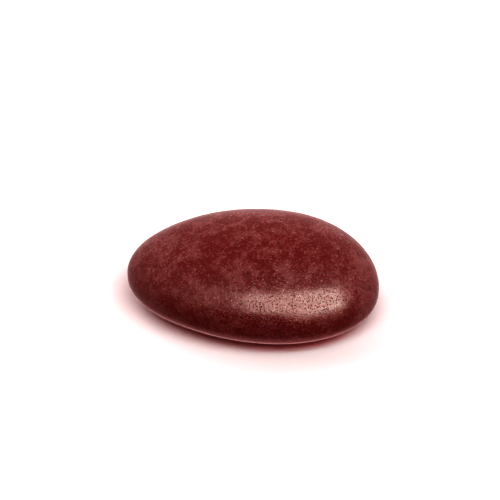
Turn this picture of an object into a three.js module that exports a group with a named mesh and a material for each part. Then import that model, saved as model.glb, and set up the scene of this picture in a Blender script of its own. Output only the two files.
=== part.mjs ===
// Sugared almond: one whole almond inside a smooth, pan-coated sugar shell, lying on its
// flatter side. It is a single solid, because nothing of the nut inside shows.
//
// Units are millimetres and +Z is up. X runs along the almond, with the blunt end at +X,
// and Y runs across it. The origin lies on the surface that the almond rests on, under
// the middle of its bounding box.

import * as THREE from 'three';
import { mergeVertices } from 'three/addons/utils/BufferGeometryUtils.js';

// Main sizes
const LENGTH = 27.0;         // from the narrow end to the blunt end
const WIDTH = 17.65;         // across the widest ring
const CROWN_HEIGHT = 7.13;   // of the upper dome above the widest ring, at mid-length
const BELLY_DEPTH = 3.06;    // of the underside below the widest ring, at mid-length
const REST_FLAT_CUT = 0.02;  // what the small flat spot takes off the lowest point

// Form of the egg-shaped outline seen from above, where 2 and 0 give an ellipse
const PLAN_EXPONENT = 2.01;
const PLAN_BLUNTNESS = 0.089;  // share of the width added at the blunt end, taken off the other
const PLAN_FULLNESS = 0.010;   // share of the width added at both ends

// Form of the two domes, where 2 and 0 give an ellipsoid
const CROWN_EXPONENT = 1.94;   // slightly peaked
const CROWN_TAPER = 0.159;     // share of the height added at the blunt end, taken off the other
const BELLY_EXPONENT = 3.0;    // flattened
const BELLY_TAPER = 0.006;     // keeps the lowest point under the centre of mass

// Slow swells left by the tumbling pan: the reach of each and its direction and phase
const SWELL_HEIGHT = 0.012;
const SWELLS = [
  { wavelength: 11.5, direction: [0.80, 0.52, 0.30], phase: 1.8 },
  { wavelength: 8.2, direction: [-0.35, 0.90, 0.25], phase: 2.6 },
  { wavelength: 6.3, direction: [0.62, -0.60, 0.50], phase: 4.6 },
];

// Faces
const SEGMENTS_AROUND = 80;
const RINGS_POLE_TO_POLE = 40;

const SHELL_COLOUR = 0x5e1c19;  // dark maroon
const SHELL_ROUGHNESS = 0.38;   // satin, polished but not glassy

// A power that keeps the sign of its base.
const signedPower = (base, exponent) => Math.sign(base) * Math.abs(base) ** exponent;

// The widest ring at a direction given by its cosine and sine, as a point in the plan.
function planPoint(cosine, sine) {
  const along = signedPower(cosine, 2 / PLAN_EXPONENT);
  const across = signedPower(sine, 2 / PLAN_EXPONENT);
  const widening = 1 + PLAN_BLUNTNESS * along + PLAN_FULLNESS * (along ** 2 - 1 / 3);
  return [(LENGTH / 2) * along, (WIDTH / 2) * across * widening];
}

// The height of the crown above the widest ring, or the depth of the belly below it, at
// a share of the way out from the middle to the ring.
function domeHeight(along, share, onCrown) {
  const rise = onCrown ? CROWN_HEIGHT : -BELLY_DEPTH;
  const taper = onCrown ? CROWN_TAPER : BELLY_TAPER;
  const exponent = onCrown ? CROWN_EXPONENT : BELLY_EXPONENT;
  const bulge = Math.max(0, 1 - share ** exponent) ** (1 / exponent);
  return rise * (1 + taper * along) * bulge;
}

// How far the shell swells out at a point of the smooth form.
function swell(point) {
  const waves = SWELLS.map(({ wavelength, direction, phase }) => {
    const axis = new THREE.Vector3(...direction).normalize();
    return Math.sin((2 * Math.PI * point.dot(axis)) / wavelength + phase);
  });
  return SWELL_HEIGHT * waves.reduce((sum, wave) => sum + wave, 0);
}

// Moves one point of the unit sphere, whose poles are at +Z and -Z, onto the almond.
function shapePoint(onSphere) {
  const share = Math.hypot(onSphere.x, onSphere.y);
  const [cosine, sine] = share > 1e-6 ? [onSphere.x / share, onSphere.y / share] : [1, 0];
  const [ringX, ringY] = planPoint(cosine, sine);
  const x = share * ringX;
  const y = share * ringY;
  const z = domeHeight(x / (LENGTH / 2), Math.min(share, 1), onSphere.z > 0);
  const point = new THREE.Vector3(x, y, z);
  return point.addScaledVector(onSphere, swell(point));
}

// The whole shell: a sphere's grid of faces, moved onto the almond, set with the middle
// of its box over the origin and its lowest point cut to a small flat spot at Z 0.
function shellGeometry() {
  const sphere = new THREE.SphereGeometry(1, SEGMENTS_AROUND, RINGS_POLE_TO_POLE);
  sphere.rotateX(Math.PI / 2);
  sphere.deleteAttribute('normal');
  sphere.deleteAttribute('uv');
  const geometry = mergeVertices(sphere, 1e-5);

  const position = geometry.getAttribute('position');
  const vertex = new THREE.Vector3();
  for (let i = 0; i < position.count; i++) {
    vertex.fromBufferAttribute(position, i);
    position.setXYZ(i, ...shapePoint(vertex));
  }

  geometry.computeBoundingBox();
  const { min, max } = geometry.boundingBox;
  geometry.translate(-(min.x + max.x) / 2, -(min.y + max.y) / 2, -(min.z + REST_FLAT_CUT));
  for (let i = 0; i < position.count; i++) {
    position.setZ(i, Math.max(0, position.getZ(i)));
  }
  geometry.computeVertexNormals();
  return geometry;
}

const shellMaterial = new THREE.MeshStandardMaterial({
  color: SHELL_COLOUR,
  roughness: SHELL_ROUGHNESS,
  metalness: 0,
});

const sugaredAlmond = new THREE.Mesh(shellGeometry(), shellMaterial);
sugaredAlmond.name = 'sugared_almond';

const almond = new THREE.Group();
almond.add(sugaredAlmond);

export default almond;
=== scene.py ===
# A sugared almond on a pale floor, in metres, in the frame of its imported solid.
# One fine mesh of the same form replaces the solid. X runs along the almond with the
# blunt end at +X, Z is up, and the almond rests on the floor at Z 0.
import math

import bpy
import numpy as np
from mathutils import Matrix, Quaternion, Vector, noise


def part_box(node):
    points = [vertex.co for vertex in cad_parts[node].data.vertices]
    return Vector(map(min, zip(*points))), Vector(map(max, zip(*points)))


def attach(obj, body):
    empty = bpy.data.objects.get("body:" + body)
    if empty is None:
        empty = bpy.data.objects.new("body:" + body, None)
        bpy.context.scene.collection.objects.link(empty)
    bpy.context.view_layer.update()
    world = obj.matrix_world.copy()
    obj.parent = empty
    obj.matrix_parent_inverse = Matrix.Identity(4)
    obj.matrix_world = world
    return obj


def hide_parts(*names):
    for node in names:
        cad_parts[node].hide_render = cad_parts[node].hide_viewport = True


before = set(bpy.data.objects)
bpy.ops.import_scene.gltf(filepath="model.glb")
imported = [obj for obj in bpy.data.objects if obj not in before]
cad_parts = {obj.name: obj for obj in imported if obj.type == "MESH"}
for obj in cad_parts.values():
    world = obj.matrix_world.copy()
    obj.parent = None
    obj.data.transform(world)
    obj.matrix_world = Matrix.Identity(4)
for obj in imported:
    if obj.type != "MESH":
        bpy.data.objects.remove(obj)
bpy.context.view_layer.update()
NODE = "sugared_almond"
MM = 0.001

# ---- form of the almond, as in its solid
LENGTH = 27.0 * MM
WIDTH = 17.65 * MM
CROWN_HEIGHT = 7.13 * MM    # of the upper dome above the widest ring
BELLY_DEPTH = 3.06 * MM     # of the underside below the widest ring
PLAN_EXPONENT, PLAN_BLUNTNESS, PLAN_FULLNESS = 2.01, 0.089, 0.010
CROWN_EXPONENT, CROWN_TAPER = 1.94, 0.159
BELLY_EXPONENT, BELLY_TAPER = 3.0, 0.006
SWELL_HEIGHT = 0.012 * MM
SWELLS = (  # wavelength, direction and phase of each slow swell
    (11.5 * MM, (0.80, 0.52, 0.30), 1.8),
    (8.2 * MM, (-0.35, 0.90, 0.25), 2.6),
    (6.3 * MM, (0.62, -0.60, 0.50), 4.6),
)
NEAR_POLE = 1e-6            # the share of the way out that still counts as the pole

# ---- fine relief of the panned sugar, on top of that form
CELLS_PER_SIDE = 124  # of the cube that the mesh is blown up from
RELIEF = (            # how wide its bumps are and how high the tallest could stand
    (3.4 * MM, 0.0110 * MM),
    (1.5 * MM, 0.0045 * MM),
    (0.6 * MM, 0.0012 * MM),
)

# ---- finish of the shell, with colours as the share of red, green and blue given back
MAROON = (0.110, 0.0040, 0.0020)
BLOOM = (0.80, 0.75, 0.72)
CLOUD_SIZE = 2.0 * MM
CLOUD_DETAIL, CLOUD_ROUGHNESS, CLOUD_DISTORTION = 5, 0.88, 0.15
CLOUD_EDGES = (0.45, 0.58)  # of the noise: no bloom below these and full bloom above them
CLOUD_COVER = 0.052         # the share of the maroon that the thickest clouds hide
SPECK_SIZE = 0.13 * MM
SPECK_EDGES = (0.62, 0.98)  # of each cell's random shade, so that few cells are bright specks
SPECK_COVER = 0.100         # the share of the maroon that the brightest specks hide
SATIN = (0.21, 0.27)        # roughness outside the clouds and in them
GLOSS = 0.62                # of the mirror: 0.5 gives back 4 percent of what comes straight on
PIT_SIZE = 0.20 * MM
PIT_DEPTH = 0.030 * MM
PIT_REACH = 0.42            # how far a pit slopes out from its middle, in pit sizes
SHADE_AND_PIT_SHARE_BELOW = 0.55          # the share of bloom and pits that is left low on the sides and below; the thinner pale bloom there is painted shade that darkens the low sides
SHADE_AND_PIT_FADE_HEIGHTS = (2.8 * MM, 5.8 * MM)  # the heights between which they fade to that

# ---- floor
FLOOR = (0.48, 0.48, 0.48)
FLOOR_SIZE = 4.0
FLOOR_ROUGHNESS = 0.8

# ---- lamps, with their colours as red, green and blue
LAMP_DISTANCE = 0.6
WINDOW_COLOUR = (0.78, 1.0, 0.93)
COOL = (0.65, 1.0, 1.0)     # makes up for the red fill, so that the open floor stays white
FILL = (1.0, 0.02, 0.02)
BACK_LEFT_COLOUR = (0.92, 1, 1)
LOW_BACK_RIGHT_COLOUR = (1, 0.84, 0.84)
LOW_BACK_LEFT_COLOUR = (1, 0.7, 0.7)

# ---- the room that the almond mirrors, as radiance in red, green and blue
WALL = (1.3, 1.3, 1.3)
CEILING = (1.1, 1.1, 1.1)
WALL_BELOW_WINDOW = (0.29, 0.26, 0.26)
FAR_FLOOR = (1.1, 1.0, 1.0)
NEAR_FLOOR = (2.6, 1.8, 1.8)
ROOM_BRIGHTEST = max(NEAR_FLOOR)  # a colour ramp ends at 1, so its colours are shares of this
AWAY_SHADES = (             # away from the camera: a height from -1 to 1, and its colour
    (-1, NEAR_FLOOR),
    (-0.62, FAR_FLOOR),
    (0, WALL),
    (0.5, WALL),
    (1, CEILING),
)
NEAR_SHADES = (             # the same towards the camera, where the window is
    (-1, NEAR_FLOOR),
    (-0.85, NEAR_FLOOR),
    (-0.7, WALL_BELOW_WINDOW),
    (0, WALL_BELOW_WINDOW),
    (0.12, WALL),
    (0.5, WALL),
    (1, CEILING),
)
CAMERA_SIDE = (0.05, 0.4)   # the share of the way towards the camera where one gives way to the other

# ---- the photograph's view: 500 pixels square, taken with a long lens
IMAGE_PIXELS = 500
SENSOR_WIDTH = 36.0  # millimetres, as is the lens
LENS = 180.0
PIXEL = 0.10659 * MM             # the size of a pixel at the almond
VIEW_ELEVATION = 38.0            # of the sight line to the almond, above the horizontal
VIEW_AZIMUTH = 9.45              # of the camera, from -Y towards the blunt end
MIDDLE_PIXEL = (252.51, 280.28)  # where the middle of the widest ring lies
CLIP_START, CLIP_END = 0.01, 20

MIX_A, MIX_B, MIX_RESULT = 6, 7, 2  # a mix node's colour sockets, which share their names with others


def signed_power(base, exponent):
    """A power that keeps the sign of its base."""
    return np.sign(base) * np.abs(base) ** exponent


def almond_points(on_sphere):
    """Moves points of the unit sphere onto the smooth form, about the middle of its ring."""
    x, y, z = on_sphere.T
    share = np.hypot(x, y)
    off_pole = share > NEAR_POLE
    reach = np.maximum(share, NEAR_POLE)
    along = signed_power(np.where(off_pole, x / reach, 1.0), 2 / PLAN_EXPONENT)
    across = signed_power(np.where(off_pole, y / reach, 0.0), 2 / PLAN_EXPONENT)
    widening = 1 + PLAN_BLUNTNESS * along + PLAN_FULLNESS * (along**2 - 1 / 3)
    px = share * along * LENGTH / 2
    py = share * across * widening * WIDTH / 2

    def dome(rise, taper, exponent):
        bulge = np.maximum(0, 1 - np.minimum(share, 1) ** exponent) ** (1 / exponent)
        return rise * (1 + taper * px / (LENGTH / 2)) * bulge

    crown = dome(CROWN_HEIGHT, CROWN_TAPER, CROWN_EXPONENT)
    belly = dome(-BELLY_DEPTH, BELLY_TAPER, BELLY_EXPONENT)
    points = np.stack([px, py, np.where(z > 0, crown, belly)], axis=1)
    swell = np.zeros(len(points))
    for wavelength, direction, phase in SWELLS:
        axis = np.array(Vector(direction).normalized())
        swell += SWELL_HEIGHT * np.sin(2 * math.pi * (points @ axis) / wavelength + phase)
    return points + on_sphere * swell[:, None]


def relief(points):
    """The height of the fine relief at each point."""
    heights = np.zeros(len(points))
    for size, height in RELIEF:
        heights += [height * noise.noise(Vector(p) / size) for p in points]
    return heights


def sphere_grid():
    """Points of a unit sphere and its four-sided faces, from a cube with no poles."""
    steps = np.tan(np.linspace(-math.pi / 4, math.pi / 4, CELLS_PER_SIDE + 1))
    u, v = (grid.ravel() for grid in np.meshgrid(steps, steps, indexing="ij"))
    side = np.arange((CELLS_PER_SIDE + 1) ** 2).reshape(CELLS_PER_SIDE + 1, -1)
    corners = (side[:-1, :-1], side[1:, :-1], side[1:, 1:], side[:-1, 1:])
    side_faces = np.stack(corners, -1).reshape(-1, 4)
    points, faces = [], []
    for axis in range(3):
        for sign in (1, -1):
            faces.append(side_faces[:, ::sign] + len(points) * len(u))
            points.append(np.roll(np.stack([u, v, np.full(len(u), sign)], 1), axis, axis=1))
    points = np.concatenate(points)
    _, kept, merged = np.unique(points.round(6), axis=0, return_index=True, return_inverse=True)
    faces = merged.ravel()[np.concatenate(faces)]
    points = points[kept]
    return points / np.linalg.norm(points, axis=1)[:, None], faces


def almond_mesh():
    """The whole shell as one closed mesh, set in the solid's box and cut flat where it rests."""
    on_sphere, faces = sphere_grid()
    points = almond_points(on_sphere)
    points += on_sphere * relief(points)[:, None]

    low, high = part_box(NODE)
    box_low, box_high = points.min(0), points.max(0)
    points[:, 0] += (low.x + high.x - box_low[0] - box_high[0]) / 2
    points[:, 1] += (low.y + high.y - box_low[1] - box_high[1]) / 2
    points[:, 2] += high.z - box_high[2]
    points[:, 2] = np.maximum(points[:, 2], low.z)

    mesh = bpy.data.meshes.new("almond_shell")
    mesh.from_pydata(points.tolist(), [], faces.tolist())
    mesh.update()
    mesh.shade_smooth()
    return mesh


class Nodes:
    """Short calls for building one material's nodes."""

    def __init__(self, material):
        material.use_nodes = True
        self.tree = material.node_tree
        self.shader = self.tree.nodes["Principled BSDF"]
        self.place = self.tree.nodes.new("ShaderNodeTexCoord").outputs["Object"]

    def link(self, source, target):
        self.tree.links.new(source, target)

    def noise(self, size, detail, roughness, distortion):
        node = self.tree.nodes.new("ShaderNodeTexNoise")
        node.inputs["Scale"].default_value = 1 / size
        node.inputs["Detail"].default_value = detail
        node.inputs["Roughness"].default_value = roughness
        node.inputs["Distortion"].default_value = distortion
        self.link(self.place, node.inputs["Vector"])
        return node.outputs["Fac"]

    def cells(self, size):
        """The distance to the nearest of many scattered points, in sizes, and its random shade."""
        node = self.tree.nodes.new("ShaderNodeTexVoronoi")
        node.inputs["Scale"].default_value = 1 / size
        self.link(self.place, node.inputs["Vector"])
        return node.outputs["Distance"], node.outputs["Color"]

    def height(self):
        """The height above the floor."""
        node = self.tree.nodes.new("ShaderNodeSeparateXYZ")
        self.link(self.place, node.inputs["Vector"])
        return node.outputs["Z"]

    def ramp(self, value, low, high, to_low=0.0, to_high=1.0):
        """Goes smoothly from one number to another as the value goes from low to high."""
        node = self.tree.nodes.new("ShaderNodeMapRange")
        node.interpolation_type = "SMOOTHSTEP"
        node.inputs["From Min"].default_value = low
        node.inputs["From Max"].default_value = high
        node.inputs["To Min"].default_value = to_low
        node.inputs["To Max"].default_value = to_high
        self.link(value, node.inputs["Value"])
        return node.outputs["Result"]

    def math(self, operation, a, b):
        """A sum or product of two outputs, or of an output and a number."""
        node = self.tree.nodes.new("ShaderNodeMath")
        node.operation = operation
        for socket, value in zip(node.inputs, (a, b)):
            if isinstance(value, (int, float)):
                socket.default_value = value
            else:
                self.link(value, socket)
        return node.outputs["Value"]

    def mix(self, factor, a, b):
        """A colour between two given ones."""
        node = self.tree.nodes.new("ShaderNodeMix")
        node.data_type = "RGBA"
        node.inputs[MIX_A].default_value = (*a, 1)
        node.inputs[MIX_B].default_value = (*b, 1)
        self.link(factor, node.inputs["Factor"])
        return node.outputs[MIX_RESULT]


def sugar_shell():
    """Satin maroon sugar, finely pitted, under a thin pale bloom that is cloudy and mottled. The bloom
    thins low on the sides and below, as painted shade that darkens them.
    """
    material = bpy.data.materials.new("sugar_shell")
    n = Nodes(material)
    clouds = n.noise(CLOUD_SIZE, CLOUD_DETAIL, CLOUD_ROUGHNESS, CLOUD_DISTORTION)
    clouds = n.ramp(clouds, *CLOUD_EDGES)
    specks = n.ramp(n.cells(SPECK_SIZE)[1], *SPECK_EDGES)
    # painted shade: the pale bloom thins out below these heights so the low sides and underside come out
    # darker; the pits fade with it
    shade_and_pit_fade = n.ramp(n.height(), *SHADE_AND_PIT_FADE_HEIGHTS, SHADE_AND_PIT_SHARE_BELOW, 1.0)
    cover = n.math("ADD", n.math("MULTIPLY", clouds, CLOUD_COVER), n.math("MULTIPLY", specks, SPECK_COVER))
    n.link(n.mix(n.math("MULTIPLY", cover, shade_and_pit_fade), MAROON, BLOOM), n.shader.inputs["Base Color"])
    n.link(n.ramp(clouds, 0, 1, *SATIN), n.shader.inputs["Roughness"])
    n.shader.inputs["Specular IOR Level"].default_value = GLOSS

    pits = n.ramp(n.cells(PIT_SIZE)[0], 0, PIT_REACH)
    bump = n.tree.nodes.new("ShaderNodeBump")
    bump.inputs["Strength"].default_value = 1.0
    bump.inputs["Distance"].default_value = PIT_DEPTH
    n.link(n.math("MULTIPLY", pits, shade_and_pit_fade), bump.inputs["Height"])
    n.link(bump.outputs["Normal"], n.shader.inputs["Normal"])
    return material


def floor():
    """A wide, plain, pale floor. The lamps make it white, and the almond doesn't mirror it."""
    bpy.ops.mesh.primitive_plane_add(size=FLOOR_SIZE)
    plane = bpy.context.object
    plane.name = "floor"
    material = bpy.data.materials.new("floor")
    n = Nodes(material)
    n.shader.inputs["Base Color"].default_value = (*FLOOR, 1)
    n.shader.inputs["Roughness"].default_value = FLOOR_ROUGHNESS
    n.shader.inputs["Specular IOR Level"].default_value = 0.0
    plane.data.materials.append(material)
    plane.visible_glossy = False


def sight_line(azimuth, elevation):
    """The direction from the almond to something round it. Azimuth 0 is -Y and 90 is +X."""
    a, e = math.radians(azimuth), math.radians(elevation)
    return Vector((math.sin(a) * math.cos(e), -math.cos(a) * math.cos(e), math.sin(e)))


def softbox(name, azimuth, elevation, wide, tall, radiance, colour=(1, 1, 1), roll=0, **seen_by):
    """A rectangular lamp that faces the almond and looks so many degrees wide and tall from it.

    Its azimuth is counted from the camera's. A kind of ray given as False doesn't see it.
    """
    data = bpy.data.lights.new(name, "AREA")
    data.shape = "RECTANGLE"
    data.size = 2 * LAMP_DISTANCE * math.tan(math.radians(wide / 2))
    data.size_y = 2 * LAMP_DISTANCE * math.tan(math.radians(tall / 2))
    data.energy = radiance * math.pi * data.size * data.size_y
    data.color = colour
    lamp = bpy.data.objects.new(name, data)
    toward = sight_line(azimuth + VIEW_AZIMUTH, elevation)
    lamp.location = toward * LAMP_DISTANCE
    turn = toward.to_track_quat("Z", "Y") @ Quaternion((0, 0, 1), math.radians(roll))
    lamp.rotation_euler = turn.to_euler()
    lamp.visible_camera = False
    for kind, shown in seen_by.items():
        setattr(lamp, "visible_" + kind, shown)
    bpy.context.collection.objects.link(lamp)


def room():
    """A white room, which the almond mirrors and which gives it no other light.

    The wall below the window is dark. What lies lower stands in for the glow of the lit floor.
    """
    world = bpy.data.worlds.new("room")
    bpy.context.scene.world = world
    world.use_nodes = True
    nodes, links = world.node_tree.nodes, world.node_tree.links
    place = nodes.new("ShaderNodeTexCoord").outputs["Generated"]

    def reach(direction, low, high):
        """From 0 to 1 as the share of the way towards a direction goes from low to high."""
        dot = nodes.new("ShaderNodeVectorMath")
        dot.operation = "DOT_PRODUCT"
        dot.inputs[1].default_value = direction
        share = nodes.new("ShaderNodeMapRange")
        share.inputs["From Min"].default_value = low
        share.inputs["From Max"].default_value = high
        links.new(place, dot.inputs[0])
        links.new(dot.outputs["Value"], share.inputs["Value"])
        return share.outputs["Result"]

    def shades(stops):
        """A colour for each height, from straight down at -1 to straight up at 1."""
        node = nodes.new("ShaderNodeValToRGB")
        links.new(height, node.inputs["Fac"])
        elements = node.color_ramp.elements
        for step, (level, colour) in enumerate(stops):
            position = (level + 1) / 2
            element = elements[step] if step < 2 else elements.new(position)
            element.position = position
            element.color = (*(part / ROOM_BRIGHTEST for part in colour), 1)
        return node.outputs["Color"]

    height = reach((0, 0, 1), -1, 1)
    mix = nodes.new("ShaderNodeMix")
    mix.data_type = "RGBA"
    links.new(reach(sight_line(VIEW_AZIMUTH, 0), *CAMERA_SIDE), mix.inputs["Factor"])
    links.new(shades(AWAY_SHADES), mix.inputs[MIX_A])
    links.new(shades(NEAR_SHADES), mix.inputs[MIX_B])
    links.new(mix.outputs[MIX_RESULT], nodes["Background"].inputs["Color"])
    nodes["Background"].inputs["Strength"].default_value = ROOM_BRIGHTEST
    world.cycles_visibility.diffuse = False


def shading_lamps():
    """The lamps that shade the almond and cast its soft shadow. They aren't mirrored in it."""
    softbox("overhead", 15, 62, 80, 30, 7.8, colour=COOL, glossy=False)
    softbox("back_overhead", 180, 62, 60, 30, 1.0, colour=FILL, glossy=False)
    softbox("right", 60, 38, 60, 24, 3.0, glossy=False)
    softbox("back_right", 150, 38, 100, 24, 2.9, glossy=False)
    softbox("back_left", 240, 38, 60, 24, 6.2, colour=BACK_LEFT_COLOUR, glossy=False)
    softbox("low_back_right", 150, 14, 90, 22, 4.8, colour=LOW_BACK_RIGHT_COLOUR, glossy=False)
    softbox("low_back_left", 225, 14, 70, 22, 4.7, colour=LOW_BACK_LEFT_COLOUR, glossy=False)
    softbox("front_fill", 20, 38, 110, 24, 4.4, colour=FILL, glossy=False)
    softbox("left_fill", -60, 38, 60, 24, 1.8, colour=FILL, glossy=False)


def window():
    """The broad window that is mirrored as the highlight: its bright pane and fainter edges."""
    softbox("pane", 19, 26, 82, 40, 8.3, colour=WINDOW_COLOUR, roll=-6, diffuse=False)
    softbox("pane_right", 41, 27, 38, 38, 1.7, colour=WINDOW_COLOUR, diffuse=False)
    softbox("pane_top", 15, 48, 70, 10, 0.95, colour=WINDOW_COLOUR, diffuse=False)
    softbox("pane_foot", 40, 3, 50, 14, 4.5, colour=WINDOW_COLOUR, diffuse=False)
    softbox("right_edge", 66, 20, 24, 40, 2.4, colour=WINDOW_COLOUR, diffuse=False)
    softbox("left_edge", -48, 24, 44, 32, 0.9, colour=WINDOW_COLOUR, diffuse=False)


def camera():
    """The photograph's view, reached by moving the camera and not by shifting the lens."""
    distance = LENS / SENSOR_WIDTH * IMAGE_PIXELS * PIXEL
    right_pixels = MIDDLE_PIXEL[0] - IMAGE_PIXELS / 2
    down_pixels = MIDDLE_PIXEL[1] - IMAGE_PIXELS / 2
    # the almond lies below the middle of the picture, where sight lines slope more
    axis_elevation = VIEW_ELEVATION - math.degrees(math.atan2(down_pixels * PIXEL, distance))
    back = sight_line(VIEW_AZIMUTH, axis_elevation)
    turn = back.to_track_quat("Z", "Y")
    right, up = turn @ Vector((1, 0, 0)), turn @ Vector((0, 1, 0))
    low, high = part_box(NODE)
    ring_middle = Vector(((low.x + high.x) / 2, (low.y + high.y) / 2, BELLY_DEPTH))
    data = bpy.data.cameras.new("camera")
    data.lens, data.sensor_width = LENS, SENSOR_WIDTH
    data.clip_start, data.clip_end = CLIP_START, CLIP_END
    eye = bpy.data.objects.new("camera", data)
    eye.location = ring_middle + back * distance + (up * down_pixels - right * right_pixels) * PIXEL
    eye.rotation_euler = turn.to_euler()
    bpy.context.collection.objects.link(eye)
    bpy.context.scene.camera = eye


almond = bpy.data.objects.new("almond", almond_mesh())
bpy.context.collection.objects.link(almond)
almond.data.materials.append(sugar_shell())
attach(almond, "root")
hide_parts(NODE)

floor()
room()
shading_lamps()
window()
camera()
bpy.context.scene.view_settings.view_transform = "Raw"  # the light was set without a tone curve
